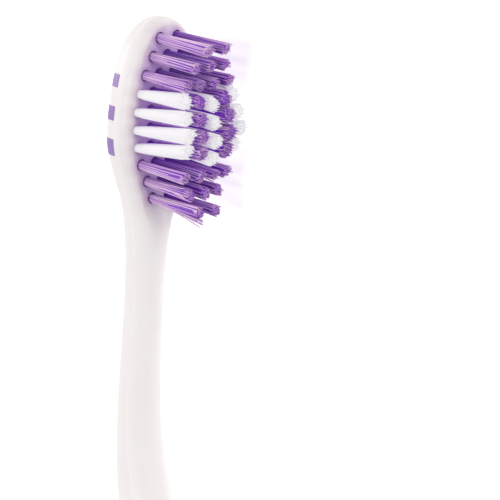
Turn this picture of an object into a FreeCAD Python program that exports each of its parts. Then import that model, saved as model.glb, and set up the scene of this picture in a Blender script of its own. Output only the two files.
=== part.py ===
import FreeCAD, Part
import math
import os

# Manual toothbrush, lying on its side. X runs along the brush with the head at +X,
# the bristles point to -Y, and Z goes across the brush from the low side to the high side.
# The origin is at the middle of the length and depth, on the surface that the brush lies on.

# Main sizes of the moulded handle
overall_length = 190.0
head_length = 30.0
head_width = 14.2
head_thickness = 5.35
head_crown = 0.25
face_length = 27.4
face_runout = 4.0
neck_length = 36.0
neck_width = 5.1
neck_depth = 5.7
handle_width = 14.2
palm_rise = 17.7

# Bristle field
tuft_count_rows = [2, 3, 4, 5, 5, 5, 5, 4, 3, 2]
row_spread_shares = [0.31, 0.53, 0.77, 0.92, 1.0, 1.0, 0.93, 0.77, 0.52, 0.3]
first_row_setback = 2.5
row_pitch = 2.58
field_half_width = 5.13
bristle_height = 11.5
hole_diameter = 1.7
hole_depth = 3.3
tuft_clearance = 0.04
purple_tip_diameter = 1.95
white_tip_diameter = 2.2
straight_root_height = 0.7
outer_lean_degrees = [0.0, 0.0, 1.0, 4.5, 6.0, 7.2, 8.2, 0.0, 0.0, 0.0]
white_inward_degrees = 1.5

# Metal anchor plate that holds a folded tuft in its hole
anchor_thickness = 0.3
anchor_height = 1.3
anchor_seat = 0.35
anchor_clearance = 0.03

# Soft bars let into the back and sides of the head
bar_first_setback = 7.8
bar_widths = [1.9, 2.1, 2.6]
bar_gap = 2.6
bar_side_heights = [2.55, 2.65, 2.95]
bar_inlay_depth = 0.75

# Soft grips on the handle
thumb_grip_start = 83.6
thumb_grip_length = 24.8
thumb_grip_depth = 2.55
back_grip_start = 86.3
back_grip_tail_gap = 27.0
back_grip_wrap = 7.2
grip_skin = 1.8
cut_overrun = 4.0

# Outline of the moulding from the head tip to the tail, one row for each cross-section.
# Head rows hold the station as a share of the head length, the front drop and the back depth
# as shares of the head thickness, the half width as a share of half the head width, the ridge
# as a share of the local depth, the fullness of the rounded front and back corners, and how
# far the front corner sets in at the ridge, as a share of the half width.
head_section_shares = [
    (0.0, 0.25, 0.55, 0.09, 0.50, 0.60, 0.60, 0.0),
    (0.007, 0.12, 0.69, 0.25, 0.50, 0.66, 0.66, 0.0),
    (0.025, 0.045, 0.775, 0.40, 0.50, 0.75, 0.72, 0.0),
    (0.06, 0.01, 0.84, 0.55, 0.50, 0.85, 0.82, 0.0),
    (0.12, 0.0, 0.90, 0.70, 0.50, 0.93, 0.90, 0.0),
    (0.20, 0.0, 0.94, 0.81, 0.50, 0.97, 0.94, 0.0),
    (0.30, 0.0, 0.97, 0.905, 0.50, 0.98, 0.96, 0.0),
    (0.40, 0.0, 0.985, 0.965, 0.50, 0.98, 0.96, 0.0),
    (0.51, 0.0, 0.995, 1.0, 0.50, 0.98, 0.96, 0.0),
    (0.60, 0.0, 1.0, 0.978, 0.50, 0.98, 0.96, 0.0),
    (0.69, 0.0, 1.0, 0.88, 0.50, 0.98, 0.95, 0.0),
    (0.78, 0.0, 1.0, 0.745, 0.49, 0.96, 0.92, 0.01),
    (0.87, -0.012, 1.0, 0.595, 0.46, 0.90, 0.88, 0.04),
    (0.95, -0.03, 1.0, 0.50, 0.42, 0.82, 0.84, 0.07),
]
# Neck rows: station, front and back as shares of the neck depth, and half width as a share
# of half the neck width.
neck_section_shares = [
    (0.08, -0.055, 0.938, 1.16, 0.36, 0.70, 0.79, 0.10),
    (0.22, -0.062, 0.938, 1.02, 0.34, 0.63, 0.77, 0.10),
    (0.40, -0.062, 0.938, 1.0, 0.34, 0.61, 0.77, 0.10),
    (0.60, -0.068, 0.937, 1.1, 0.34, 0.61, 0.77, 0.10),
    (0.80, -0.125, 0.92, 1.2, 0.34, 0.61, 0.77, 0.10),
    (0.95, -0.305, 0.882, 1.26, 0.35, 0.61, 0.76, 0.10),
]
# Handle rows: station as a share of the handle length, front and back heights over the
# head's face as shares of the palm rise, half width as a share of half the handle width.
handle_section_shares = [
    (0.03, 0.203, -0.26, 0.465, 0.36, 0.62, 0.75, 0.10),
    (0.07, 0.336, -0.175, 0.53, 0.38, 0.62, 0.74, 0.10),
    (0.10, 0.50, -0.10, 0.635, 0.39, 0.63, 0.73, 0.09),
    (0.135, 0.61, -0.02, 0.775, 0.40, 0.65, 0.73, 0.08),
    (0.18, 0.627, 0.042, 0.887, 0.41, 0.66, 0.73, 0.07),
    (0.235, 0.65, 0.063, 0.965, 0.42, 0.66, 0.73, 0.06),
    (0.30, 0.715, 0.08, 0.985, 0.42, 0.66, 0.73, 0.06),
    (0.375, 0.805, 0.107, 0.925, 0.42, 0.66, 0.73, 0.06),
    (0.46, 0.912, 0.158, 0.868, 0.42, 0.66, 0.73, 0.06),
    (0.55, 0.98, 0.217, 0.887, 0.42, 0.66, 0.73, 0.06),
    (0.64, 1.0, 0.283, 0.955, 0.43, 0.66, 0.73, 0.06),
    (0.72, 0.994, 0.345, 0.991, 0.44, 0.66, 0.73, 0.06),
    (0.80, 0.96, 0.366, 0.978, 0.45, 0.65, 0.72, 0.05),
    (0.88, 0.876, 0.36, 0.89, 0.47, 0.64, 0.70, 0.04),
    (0.94, 0.777, 0.358, 0.74, 0.48, 0.62, 0.67, 0.03),
    (0.975, 0.698, 0.367, 0.54, 0.49, 0.60, 0.64, 0.02),
    (0.992, 0.638, 0.393, 0.325, 0.50, 0.58, 0.60, 0.0),
    (0.9985, 0.593, 0.435, 0.16, 0.50, 0.56, 0.56, 0.0),
    (1.0, 0.56, 0.469, 0.07, 0.50, 0.56, 0.56, 0.0),
]
# Heights of the trimmed tuft ends as shares of the bristle height, (tip side, tail side),
# for the outer tufts of each row and for the inner ones.
outer_trim_shares = [
    (0.951, 0.866), (0.852, 0.774), (0.811, 0.753), (0.809, 0.883), (0.898, 0.929),
    (0.965, 0.939), (0.897, 0.834), (0.874, 0.779), (0.762, 0.847), (0.848, 0.934),
]
inner_trim_shares = [
    (0.951, 0.866), (0.852, 0.774), (0.803, 0.745), (0.857, 0.925), (0.942, 0.962),
    (0.997, 0.977), (0.970, 0.908), (0.909, 0.813), (0.797, 0.873), (0.848, 0.934),
]
# Rise of the back grip's edge over the handle's back, (station share, share of the wrap)
back_grip_edge_shares = [
    (0.10, 0.22), (0.166, 0.44), (0.228, 0.65), (0.31, 0.88), (0.39, 0.965), (0.475, 1.0),
    (0.60, 0.96), (0.684, 0.875), (0.767, 0.72), (0.852, 0.51), (0.936, 0.28), (0.98, 0.14),
]
# Depth of the thumb grip's edge under the handle's front, (station share, share of the depth)
thumb_grip_edge_shares = [
    (0.06, 0.40), (0.14, 0.68), (0.28, 0.86), (0.45, 0.96), (0.62, 1.0), (0.78, 0.97),
    (0.90, 0.78), (0.97, 0.42),
]
bore_row_count = len(tuft_count_rows)
bundle_side_count = 12

handle_start = head_length + neck_length
handle_length = overall_length - handle_start
back_grip_length = overall_length - back_grip_start - back_grip_tail_gap
face_level = (palm_rise - head_thickness) / 2
mid_height = max(head_width, handle_width) / 2


def place(setback, rise, across):
    """Point at a distance from the head tip, a height over the head's face, and a side offset."""
    return FreeCAD.Vector(overall_length / 2 - setback, face_level - rise, mid_height + across)


def sections():
    """All cross-sections as (setback, front, back, half width, ridge, fullness, crease)."""
    rows = []
    for at, front, back, half, ridge, full_f, full_b, crease in head_section_shares:
        front_rise = head_crown - front * head_thickness
        back_rise = -back * head_thickness
        rows.append((at * head_length, front_rise, back_rise, half * head_width / 2, ridge, full_f, full_b, crease))
    for at, front, back, half, ridge, full_f, full_b, crease in neck_section_shares:
        setback = head_length + at * neck_length
        front_rise = -front * neck_depth
        back_rise = -back * neck_depth
        rows.append((setback, front_rise, back_rise, half * neck_width / 2, ridge, full_f, full_b, crease))
    for at, front, back, half, ridge, full_f, full_b, crease in handle_section_shares:
        setback = handle_start + at * handle_length
        front_rise = front * palm_rise
        back_rise = back * palm_rise
        rows.append((setback, front_rise, back_rise, half * handle_width / 2, ridge, full_f, full_b, crease))
    return rows


def section_at(setback):
    """Section values at any distance from the tip, by a smooth cubic through the rows."""
    rows = sections()
    last = len(rows) - 2
    i = 0
    while i < last and rows[i + 1][0] < setback:
        i = i + 1
    a = rows[max(i - 1, 0)]
    b = rows[i]
    c = rows[i + 1]
    d = rows[min(i + 2, last + 1)]
    span = c[0] - b[0]
    t = (setback - b[0]) / span
    values = [setback]
    for k in range(1, len(b)):
        slope_b = (c[k] - a[k]) / (c[0] - a[0]) * span
        slope_c = (d[k] - b[k]) / (d[0] - b[0]) * span
        h00 = (1 + 2 * t) * (1 - t) ** 2
        h10 = t * (1 - t) ** 2
        h01 = t * t * (3 - 2 * t)
        h11 = t * t * (t - 1)
        values.append(h00 * b[k] + h10 * slope_b + h01 * c[k] + h11 * slope_c)
    return values


def section_wire(row, inset):
    """Closed curve of one cross-section: four corner curves that meet at the front and back
    centre lines and at the ridge on each side, fuller at the back than at the front."""
    setback, front, back, half, ridge, full_front, full_back, crease = row
    front = front - inset
    back = back + inset
    half = half - inset
    level = front - ridge * (front - back)
    rise = full_front * (front - level)
    fall = full_back * (level - back)
    inset_half = half - crease * half
    corners = [
        ((front, 0.0), (front, full_front * half), (level + rise, inset_half), (level, half)),
        ((level, half), (level - fall, half), (back, full_back * half), (back, 0.0)),
        ((back, 0.0), (back, -full_back * half), (level - fall, -half), (level, -half)),
        ((level, -half), (level + rise, -inset_half), (front, -full_front * half), (front, 0.0)),
    ]
    edges = []
    for corner in corners:
        curve = Part.BezierCurve()
        curve.setPoles([place(setback, height, across) for height, across in corner])
        edges.append(curve.toShape())
    return Part.Wire(edges)


def moulding():
    """The whole outer form of the brush, lofted through every cross-section."""
    form = Part.makeLoft([section_wire(row, 0.0) for row in sections()], True, False)
    return form.cut(face_trim())


def grip_core(start, length):
    """The hard core that runs on under a soft grip, one grip skin inside the outer form."""
    first = start - grip_skin
    last = start + length + grip_skin
    rows = [row for row in sections() if first < row[0] < last]
    rows = [section_at(first)] + rows + [section_at(last)]
    return Part.makeLoft([section_wire(row, grip_skin) for row in rows], True, False)


def side_prism(edge, limit):
    """Block right across the brush whose one side follows the edge of a grip."""
    curve = Part.BSplineCurve()
    curve.interpolate(Points=[place(s, r, -mid_height - cut_overrun) for s, r in edge])
    start = place(edge[0][0], limit, -mid_height - cut_overrun)
    end = place(edge[-1][0], limit, -mid_height - cut_overrun)
    outline = Part.Wire([
        curve.toShape(),
        Part.makeLine(curve.EndPoint, end),
        Part.makeLine(end, start),
        Part.makeLine(start, curve.StartPoint),
    ])
    across = FreeCAD.Vector(0, 0, 2 * mid_height + 2 * cut_overrun)
    return Part.Face(outline).extrude(across)


def face_trim():
    """Block that trims the crowned head to the flat face, running out to the neck in a ramp."""
    low = -mid_height - cut_overrun
    top = head_thickness + cut_overrun
    outline = Part.makePolygon([
        place(-cut_overrun, 0.0, low),
        place(face_length, 0.0, low),
        place(face_length + face_runout, 2 * head_crown, low),
        place(face_length + face_runout, top, low),
        place(-cut_overrun, top, low),
        place(-cut_overrun, 0.0, low),
    ])
    across = FreeCAD.Vector(0, 0, 2 * mid_height + 2 * cut_overrun)
    return Part.Face(outline).extrude(across)


def thumb_region():
    edge = [(thumb_grip_start - grip_skin, section_at(thumb_grip_start)[1] + grip_skin)]
    edge.append((thumb_grip_start, section_at(thumb_grip_start)[1]))
    for at, share in thumb_grip_edge_shares:
        setback = thumb_grip_start + at * thumb_grip_length
        edge.append((setback, section_at(setback)[1] - share * thumb_grip_depth))
    end = thumb_grip_start + thumb_grip_length
    edge.append((end, section_at(end)[1]))
    edge.append((end + grip_skin / 2, section_at(end)[1] + grip_skin))
    return side_prism(edge, palm_rise + cut_overrun)


def back_region():
    edge = [(back_grip_start - grip_skin, section_at(back_grip_start)[2] - grip_skin)]
    edge.append((back_grip_start, section_at(back_grip_start)[2]))
    for at, share in back_grip_edge_shares:
        setback = back_grip_start + at * back_grip_length
        edge.append((setback, section_at(setback)[2] + share * back_grip_wrap))
    end = back_grip_start + back_grip_length
    edge.append((end, section_at(end)[2]))
    edge.append((end + grip_skin, section_at(end)[2] - grip_skin))
    return side_prism(edge, -head_thickness - cut_overrun)


def bar_blocks():
    """Blocks across the head for the soft bars, and the hard core that stays inside them."""
    blocks = []
    setback = bar_first_setback
    for width, side_height in zip(bar_widths, bar_side_heights):
        half = section_at(setback + width / 2)[3]
        top = side_height - head_thickness
        low = -head_thickness - cut_overrun
        near = place(setback + width, top, -half - cut_overrun)
        block = Part.makeBox(width, top - low, 2 * (half + cut_overrun), near)
        inner = half - bar_inlay_depth
        floor = section_at(setback + width / 2)[2] + bar_inlay_depth
        corner = place(setback + width, top, -inner)
        core = Part.makeBox(width, top - floor, 2 * inner, corner)
        blocks.append(block.cut(core))
        setback = setback + width + bar_gap
    return blocks


def tuft_places():
    """Row, column, side offset and kind of every tuft; the field is the same on both sides."""
    places = []
    for row in range(bore_row_count):
        count = tuft_count_rows[row]
        spread = row_spread_shares[row] * field_half_width
        for column in range(count):
            across = spread * (1 - 2 * column / (count - 1))
            outer = column in (0, count - 1)
            middle = 2 * column == count - 1
            white = count == max(tuft_count_rows) and (outer or middle)
            places.append((row, column, across, outer, white))
    return places


def set_in_head(shape, row, across, outer, white):
    """Turn a shape drawn along -Y at zero onto a tuft's hole in the head's face."""
    lean = outer_lean_degrees[row] if outer else 0.0
    inward = math.copysign(white_inward_degrees, across) if white and outer else 0.0
    shape.rotate(FreeCAD.Vector(0, 0, 0), FreeCAD.Vector(1, 0, 0), inward)
    shape.rotate(FreeCAD.Vector(0, 0, 0), FreeCAD.Vector(0, 0, 1), lean)
    shape.translate(place(first_row_setback + row * row_pitch, 0.0, across))
    return shape


forward = FreeCAD.Vector(0, -1, 0)


def hole(row, across, outer, white):
    low = FreeCAD.Vector(0, hole_depth, 0)
    bore = Part.makeCylinder(hole_diameter / 2, hole_depth + cut_overrun, low, forward)
    return set_in_head(bore, row, across, outer, white)


def bundle_ring(level, radius):
    """Outline of a packed bundle of filaments, slightly flattened where it meets its hole."""
    points = []
    for k in range(bundle_side_count + 1):
        angle = 2 * math.pi * (k + 0.5) / bundle_side_count
        points.append(FreeCAD.Vector(radius * math.cos(angle), level, radius * math.sin(angle)))
    return Part.makePolygon(points)


def tuft(row, across, outer, white):
    """A folded bundle: straight in its hole, flaring to a trimmed end, notched for its anchor."""
    root = hole_diameter / 2 - tuft_clearance
    tip = (white_tip_diameter if white else purple_tip_diameter) / 2
    shares = outer_trim_shares[row] if outer else inner_trim_shares[row]
    reach = bristle_height + cut_overrun
    flare = root + (tip - root) * (reach - straight_root_height) / (bristle_height - straight_root_height)
    floor = hole_depth - tuft_clearance
    rings = [(floor, root), (-straight_root_height, root), (-reach, flare)]
    bundle = Part.makeLoft([bundle_ring(level, radius) for level, radius in rings], True, True)
    slot_height = anchor_height + 2 * anchor_clearance
    slot_width = anchor_thickness + 2 * anchor_clearance
    slot_low = FreeCAD.Vector(-slot_width / 2, hole_depth - anchor_seat - anchor_height - anchor_clearance, -hole_diameter)
    bundle = bundle.cut(Part.makeBox(slot_width, slot_height, 2 * hole_diameter, slot_low))
    bundle = set_in_head(bundle, row, across, outer, white)
    tip_side = shares[0] * bristle_height
    tail_side = shares[1] * bristle_height
    half = row_pitch / 2
    middle = first_row_setback + row * row_pitch
    slope = (tail_side - tip_side) / row_pitch
    near = middle - half - cut_overrun
    far = middle + half + cut_overrun
    drop = half + cut_overrun
    centre_rise = (tip_side + tail_side) / 2
    outline = Part.makePolygon([
        place(near, centre_rise - slope * drop, across - cut_overrun),
        place(far, centre_rise + slope * drop, across - cut_overrun),
        place(far, reach + cut_overrun, across - cut_overrun),
        place(near, reach + cut_overrun, across - cut_overrun),
        place(near, centre_rise - slope * drop, across - cut_overrun),
    ])
    trimming = Part.Face(outline).extrude(FreeCAD.Vector(0, 0, 2 * cut_overrun))
    return bundle.cut(trimming)


def anchor(row, across, outer, white):
    width = hole_diameter - 2 * anchor_clearance
    low = FreeCAD.Vector(-anchor_thickness / 2, hole_depth - anchor_seat - anchor_height, -width / 2)
    plate = Part.makeBox(anchor_thickness, anchor_height, width, low)
    return set_in_head(plate, row, across, outer, white)


def save(name, shape):
    shape = shape.removeSplitter() if len(shape.Solids) == 1 else shape
    print(name, len(shape.Solids), round(shape.Volume, 2), shape.isValid())
    shape.exportStep("parts/" + name + ".step")


os.makedirs("parts", exist_ok=True)

outer_form = moulding()
bars = bar_blocks()
all_tufts = tuft_places()
holes = [hole(row, across, outer, white) for row, column, across, outer, white in all_tufts]

thumb_pocket = thumb_region()
back_pocket = back_region().cut(grip_core(back_grip_start, back_grip_length))

save("thumb_grip", outer_form.common(thumb_pocket))
save("back_grip", outer_form.common(back_pocket))
for number, block in enumerate(bars):
    save("head_bar_%d" % (number + 1), outer_form.common(block))
save("handle_body", outer_form.cut([thumb_pocket, back_pocket] + bars + holes))

for row, column, across, outer, white in all_tufts:
    save("tuft_r%02d_c%d" % (row + 1, column + 1), tuft(row, across, outer, white))

plates = [anchor(row, across, outer, white) for row, column, across, outer, white in all_tufts]
save("anchor_plates", Part.makeCompound(plates))
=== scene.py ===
import bpy
import math
import numpy as np
from collections import namedtuple
from mathutils import Matrix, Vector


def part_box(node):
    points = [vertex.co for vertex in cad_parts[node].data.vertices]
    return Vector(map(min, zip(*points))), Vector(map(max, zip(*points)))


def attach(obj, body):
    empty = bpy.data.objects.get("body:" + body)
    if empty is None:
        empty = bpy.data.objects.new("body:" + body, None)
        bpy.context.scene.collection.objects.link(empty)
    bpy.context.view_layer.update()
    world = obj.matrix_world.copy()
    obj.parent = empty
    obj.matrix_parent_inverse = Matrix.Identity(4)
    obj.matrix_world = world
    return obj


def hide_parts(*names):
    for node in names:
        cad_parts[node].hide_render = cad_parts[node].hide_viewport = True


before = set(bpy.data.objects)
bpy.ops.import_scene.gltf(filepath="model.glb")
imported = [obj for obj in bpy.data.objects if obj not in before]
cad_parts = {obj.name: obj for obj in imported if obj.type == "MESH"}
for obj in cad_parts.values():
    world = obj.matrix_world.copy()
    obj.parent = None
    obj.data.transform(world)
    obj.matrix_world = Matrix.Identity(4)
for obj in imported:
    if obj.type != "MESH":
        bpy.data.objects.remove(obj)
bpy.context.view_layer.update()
body_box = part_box("handle_body")

bl_info = {
    "name": "Manual toothbrush",
    "version": (1, 0, 0),
    "blender": (4, 5, 0),
    "location": "3D Viewport > Sidebar > Toothbrush",
    "description": "Moulded handle, soft grips and trimmed bristle field of a manual toothbrush",
    "category": "Object",
}

MM = 0.001

# Outline of the moulding, one row for each cross-section from the head tip to the tail:
# station, front, back, half width, ridge, fullness of the front and back corners, crease.
HEAD_SECTION_SHARES = np.array([
    (0.0, 0.25, 0.55, 0.09, 0.5, 0.6, 0.6, 0.0),
    (0.007, 0.12, 0.69, 0.25, 0.5, 0.66, 0.66, 0.0),
    (0.025, 0.045, 0.775, 0.4, 0.5, 0.75, 0.72, 0.0),
    (0.06, 0.01, 0.84, 0.55, 0.5, 0.85, 0.82, 0.0),
    (0.12, 0.0, 0.9, 0.7, 0.5, 0.93, 0.9, 0.0),
    (0.2, 0.0, 0.94, 0.81, 0.5, 0.97, 0.94, 0.0),
    (0.3, 0.0, 0.97, 0.905, 0.5, 0.98, 0.96, 0.0),
    (0.4, 0.0, 0.985, 0.965, 0.5, 0.98, 0.96, 0.0),
    (0.51, 0.0, 0.995, 1.0, 0.5, 0.98, 0.96, 0.0),
    (0.6, 0.0, 1.0, 0.978, 0.5, 0.98, 0.96, 0.0),
    (0.69, 0.0, 1.0, 0.88, 0.5, 0.98, 0.95, 0.0),
    (0.78, 0.0, 1.0, 0.745, 0.49, 0.96, 0.92, 0.01),
    (0.87, -0.012, 1.0, 0.595, 0.46, 0.9, 0.88, 0.04),
    (0.95, -0.03, 1.0, 0.5, 0.42, 0.82, 0.84, 0.07),
])
NECK_SECTION_SHARES = np.array([
    (0.08, -0.055, 0.938, 1.16, 0.36, 0.7, 0.79, 0.1),
    (0.22, -0.062, 0.938, 1.02, 0.34, 0.63, 0.77, 0.1),
    (0.4, -0.062, 0.938, 1.0, 0.34, 0.61, 0.77, 0.1),
    (0.6, -0.068, 0.937, 1.1, 0.34, 0.61, 0.77, 0.1),
    (0.8, -0.125, 0.92, 1.2, 0.34, 0.61, 0.77, 0.1),
    (0.95, -0.305, 0.882, 1.26, 0.35, 0.61, 0.76, 0.1),
])
HANDLE_SECTION_SHARES = np.array([
    (0.03, 0.203, -0.26, 0.465, 0.36, 0.62, 0.75, 0.1),
    (0.07, 0.336, -0.175, 0.53, 0.38, 0.62, 0.74, 0.1),
    (0.1, 0.5, -0.1, 0.635, 0.39, 0.63, 0.73, 0.09),
    (0.135, 0.61, -0.02, 0.775, 0.4, 0.65, 0.73, 0.08),
    (0.18, 0.627, 0.042, 0.887, 0.41, 0.66, 0.73, 0.07),
    (0.235, 0.65, 0.063, 0.965, 0.42, 0.66, 0.73, 0.06),
    (0.3, 0.715, 0.08, 0.985, 0.42, 0.66, 0.73, 0.06),
    (0.375, 0.805, 0.107, 0.925, 0.42, 0.66, 0.73, 0.06),
    (0.46, 0.912, 0.158, 0.868, 0.42, 0.66, 0.73, 0.06),
    (0.55, 0.98, 0.217, 0.887, 0.42, 0.66, 0.73, 0.06),
    (0.64, 1.0, 0.283, 0.955, 0.43, 0.66, 0.73, 0.06),
    (0.72, 0.994, 0.345, 0.991, 0.44, 0.66, 0.73, 0.06),
    (0.8, 0.96, 0.366, 0.978, 0.45, 0.65, 0.72, 0.05),
    (0.88, 0.876, 0.36, 0.89, 0.47, 0.64, 0.7, 0.04),
    (0.94, 0.777, 0.358, 0.74, 0.48, 0.62, 0.67, 0.03),
    (0.975, 0.698, 0.367, 0.54, 0.49, 0.6, 0.64, 0.02),
    (0.992, 0.638, 0.393, 0.325, 0.5, 0.58, 0.6, 0.0),
    (0.9985, 0.593, 0.435, 0.16, 0.5, 0.56, 0.56, 0.0),
    (1.0, 0.56, 0.469, 0.07, 0.5, 0.56, 0.56, 0.0),
])
# Edge of each soft grip, (station share, share of the grip's depth)
THUMB_EDGE_SHARES = np.array([
    (0.0, 0.0), (0.06, 0.4), (0.14, 0.68), (0.28, 0.86), (0.45, 0.96), (0.62, 1.0),
    (0.78, 0.97), (0.9, 0.78), (0.97, 0.42), (1.0, 0.0),
])
BACK_EDGE_SHARES = np.array([
    (0.0, 0.0), (0.1, 0.22), (0.166, 0.44), (0.228, 0.65), (0.31, 0.88), (0.39, 0.965),
    (0.475, 1.0), (0.6, 0.96), (0.684, 0.875), (0.767, 0.72), (0.852, 0.51), (0.936, 0.28),
    (0.98, 0.14), (1.0, 0.0),
])
# Bristle field: tufts in each row, side spread, lean to the head tip, and trimmed heights as
# shares of the bristle height on the tip side and the tail side of each row.
TUFT_COUNTS = [2, 3, 4, 5, 5, 5, 5, 4, 3, 2]
ROW_SPREAD_SHARES = [0.31, 0.53, 0.77, 0.92, 1.0, 1.0, 0.93, 0.77, 0.52, 0.3]
OUTER_LEAN_DEGREES = [0.0, 0.0, 1.0, 4.5, 6.0, 7.2, 8.2, 0.0, 0.0, 0.0]
OUTER_TRIM_SHARES = [
    (0.951, 0.866), (0.852, 0.774), (0.811, 0.753), (0.809, 0.883), (0.898, 0.929),
    (0.965, 0.939), (0.897, 0.834), (0.874, 0.779), (0.762, 0.847), (0.848, 0.934),
]
INNER_TRIM_SHARES = [
    (0.951, 0.866), (0.852, 0.774), (0.803, 0.745), (0.857, 0.925), (0.942, 0.962),
    (0.997, 0.977), (0.97, 0.908), (0.909, 0.813), (0.797, 0.873), (0.848, 0.934),
]
BAR_WIDTHS = [1.9 * MM, 2.1 * MM, 2.6 * MM]
BAR_SIDE_HEIGHTS = [2.55 * MM, 2.65 * MM, 2.95 * MM]

# Steps and counts of the moulding's grid, and the bead that its two mould halves leave
FACE_STEP = 0.12 * MM
HANDLE_STEP = 0.72 * MM
TIP_ROWS = 15
TAIL_ROWS = 26
FACE_COLUMNS = 58
BACK_COLUMNS = 20
PARTING_HALF_TURN = 0.036
PARTING_LIFT = 0.045 * MM
# Bores in the face: a white tuft's is drawn in round its narrower root
WHITE_BORE_SHARE = 0.8
BORE_SHOULDER = 0.45 * MM
BORE_FLOOR = 1.3 * MM
# Depth at which a bore's painted shade is full, and the share of it in a white tuft's bore
BORE_DARK_DEPTH = 0.4 * MM
WHITE_DARK_SHARE = 0.15
# Light and shade that the tufts throw on the face, painted into its colour
GLOW_FALLOFF = 0.45 * MM
WHITE_GLOW_SHARE = 0.4
SHADE_FALLOFF = 0.70 * MM
LIGHT_REACH = 1.6 * MM
# Soft inlays: how far the bars stand over the moulding, their grid, and how edges and
# undersides are rounded
BAR_STAND = 0.03 * MM
BAR_ROUND = 0.1 * MM
BAR_ROWS = 27
BAR_COLUMNS = 121
GRIP_ROUND = 0.3 * MM
INLAY_DEPTH = 0.5 * MM
INLAY_ROUND = 1.2 * MM
# Filaments: a tube's rings as shares of its length and of its thickness
TUBE_SIDES = 6
TUBE_LEVELS = np.array([0.0, 0.10, 0.22, 0.40, 0.60, 0.80, 0.94, 0.985, 0.997])
TUBE_GIRTHS = np.array([1.0, 1.0, 1.0, 1.0, 1.0, 1.0, 1.0, 0.88, 0.55])
GOLDEN_ANGLE = math.pi * (3 - math.sqrt(5))
ROOT_LEVEL = -1.25 * MM
LONG_ROW_FULLNESS = 1.2
BETWEEN_LEAN_SHARE = 0.7
WHITE_INWARD_DEGREES = 1.5
# Kinds of tuft. The splayed ones are the far purple tufts of the long rows, whose ends meet;
# those between are the near purple ones there.
TuftKind = namedtuple("TuftKind", "widest flare_power unevenness heart_drop heart_fullness root_play")
TUFT_KINDS = {
    "white": TuftKind(2.0, 0.6, 0.19 * MM, 0.5 * MM, 1.05, 0.32 * MM),
    "splayed": TuftKind(2.0, 0.85, 0.19 * MM, 0.5 * MM, 0.96, 0.25 * MM),
    "between": TuftKind(1.62, 0.85, 0.11 * MM, 0.32 * MM, 0.96, 0.25 * MM),
    "plain": TuftKind(1.36, 0.85, 0.11 * MM, 0.32 * MM, 0.96, 0.25 * MM),
}

BLACK = (0.0, 0.0, 0.0)
WHITE = (1.0, 1.0, 1.0)


def length(name, description, millimetres):
    """A length that a user may change, with its default in millimetres."""
    return bpy.props.FloatProperty(
        name=name, description=description, default=millimetres * MM, precision=5,
        subtype="DISTANCE", unit="LENGTH")


def colour(name, description, red, green, blue):
    """A colour that a user may change."""
    return bpy.props.FloatVectorProperty(
        name=name, description=description, default=(red, green, blue), size=3,
        min=0.0, max=1.0, subtype="COLOR")


class ToothbrushSizes(bpy.types.PropertyGroup):
    """Sizes of the brush that a user may change."""
    overall_length: length("Overall length", "Length from the head tip to the tail",
                           round((body_box[1][0] - body_box[0][0]) / MM, 1))
    head_length: length("Head length", "Length of the widened head", 30.0)
    head_width: length("Head width", "Widest part of the head", 14.2)
    head_thickness: length("Head thickness", "Depth of the head from its face to its back", 5.35)
    head_crown: length("Head crown", "Rise of the outline that the flat face is cut from", 0.25)
    face_length: length("Face length", "Length of the flat tufted face", 27.4)
    face_runout: length("Face run-out", "Length of the ramp from the face to the neck", 4.0)
    neck_length: length("Neck length", "Length of the slim neck", 36.0)
    neck_width: length("Neck width", "Width of the neck at its waist", 5.1)
    neck_depth: length("Neck depth", "Depth of the neck", 5.7)
    handle_width: length("Handle width", "Widest part of the handle", 14.2)
    palm_rise: length("Palm rise", "Height of the handle's hump over the tufted face", 17.7)
    first_row_setback: length("First row", "First row of tufts, from the head tip", 2.5)
    row_pitch: length("Row pitch", "Distance from row to row", 2.58)
    field_half_width: length("Field half width", "Outermost tuft centre, from the middle line", 5.13)
    bristle_height: length("Bristle height", "Height of the longest bristles over the face", 11.5)
    hole_diameter: length("Hole diameter", "Bore that holds a tuft", 1.7)
    filament_diameter: length("Filament diameter", "Thickness of one nylon filament", 0.19)
    filament_count: bpy.props.IntProperty(
        name="Filaments in a tuft", description="Filament ends that a tuft shows", default=70, min=8, max=120)
    bar_first_setback: length("First bar", "First soft bar, from the head tip", 7.8)
    bar_gap: length("Bar gap", "Space between the soft bars", 2.6)
    thumb_grip_start: length("Thumb grip start", "Start of the thumb grip, from the head tip", 83.6)
    thumb_grip_length: length("Thumb grip length", "Length of the thumb grip", 24.8)
    thumb_grip_depth: length("Thumb grip depth", "How far the thumb grip reaches down the sides", 2.55)
    back_grip_start: length("Back grip start", "Start of the back grip, from the head tip", 86.3)
    back_grip_tail_gap: length("Back grip tail gap", "Space between the back grip and the tail", 27.0)
    back_grip_wrap: length("Back grip wrap", "How far the back grip wraps up the sides", 7.2)
    grip_stand: length("Grip stand", "How far the soft grips stand over the hard moulding", 0.07)


class ToothbrushColours(bpy.types.PropertyGroup):
    """Colours of the brush that a user may change."""
    milky_white: colour("Moulding", "Milky white of the hard moulding", 0.918, 0.884, 0.880)
    # Painted light: lilac that the purple tufts throw on the face, which also glows from it
    bristle_glow: colour("Bristle glow", "Lilac that the purple tufts throw on the face", 0.74, 0.41, 1.0)
    soft_purple: colour("Soft grips", "Purple of the soft grips and bars", 0.285, 0.148, 0.468)
    nylon_purple: colour("Purple nylon", "Body colour of the purple filaments", 0.435, 0.138, 0.655)
    # Painted shade of the purple tufts: their roots, the inner tufts and the gaps between filaments
    nylon_shade: colour("Purple nylon depth", "Deeper purple between the filaments", 0.185, 0.028, 0.54)
    nylon_lilac: colour("Purple nylon light", "Lighter streaks of the purple filaments", 0.95, 0.76, 0.86)
    nylon_white: colour("White nylon", "Body colour of the white filaments", 0.60, 0.592, 0.598)
    # Painted purple light that the purple tufts throw on the white ones
    nylon_blush: colour("White nylon blush", "Purple that the white filaments take on", 0.36, 0.19, 0.53)
    brass: colour("Anchor metal", "Colour of the anchor plates in the holes", 0.80, 0.60, 0.28)


# Shapes

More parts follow.
